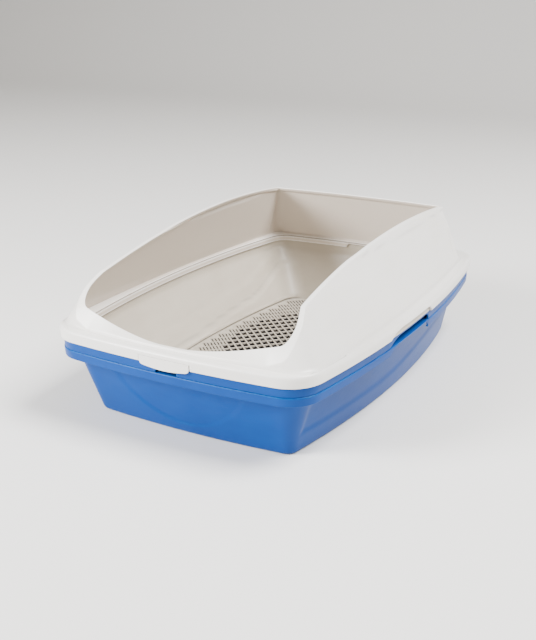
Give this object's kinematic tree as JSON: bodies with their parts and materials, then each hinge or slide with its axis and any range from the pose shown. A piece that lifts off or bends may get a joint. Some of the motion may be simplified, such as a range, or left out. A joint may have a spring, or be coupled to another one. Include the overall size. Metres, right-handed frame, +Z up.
{
  "type": "sifting cat litter box with high-back frame",
  "caption": "Open cat litter box of nested bow-sided pans, a slotted sifting tray and a clip-on high-back frame with a low front entry.",
  "frame": {"origin": "on the floor, under the middle of the box", "axes": "+Z up, +Y from the low front entry towards the high back, X across the width"},
  "size_m": [0.3494, 0.533, 0.1868],
  "materials": {
    "pan_plastic": "glossy moulded polypropylene, deep blue",
    "tray_plastic": "satin moulded polypropylene, warm bone",
    "frame_plastic": "satin moulded polypropylene, pale bone"
  },
  "bodies": {
    "base": {"lower_pan": "pan_plastic"},
    "upper": {"upper_pan": "pan_plastic"},
    "tray": {"sifting_tray": "tray_plastic"},
    "hood": {"hood_frame": "frame_plastic"},
    "front_clip": {"front_tab": "frame_plastic"},
    "rear_clip": {"rear_tab": "frame_plastic"}
  },
  "joints": [
    {"name": "upper_pan_lift", "type": "slide", "parent": "base", "child": "upper", "axis": [0, 0, 1], "range_m": [0, 0.12]},
    {"name": "sifter_lift", "type": "slide", "parent": "upper", "child": "tray", "axis": [0, 0, 1], "range_m": [0, 0.12]},
    {"name": "hood_lift", "type": "slide", "parent": "tray", "child": "hood", "axis": [0, 0, 1], "range_m": [0, 0.1]},
    {"name": "front_tab_flex", "type": "hinge", "parent": "hood", "child": "front_clip", "pos_m": [0, -0.2652, 0.1015], "axis": [-1, 0, 0], "range_deg": [0, 10], "stiffness_Nm_per_rad": 0.4},
    {"name": "rear_tab_flex", "type": "hinge", "parent": "hood", "child": "rear_clip", "pos_m": [0, 0.2652, 0.1015], "axis": [1, 0, 0], "range_deg": [0, 10], "stiffness_Nm_per_rad": 0.4}
  ]
}
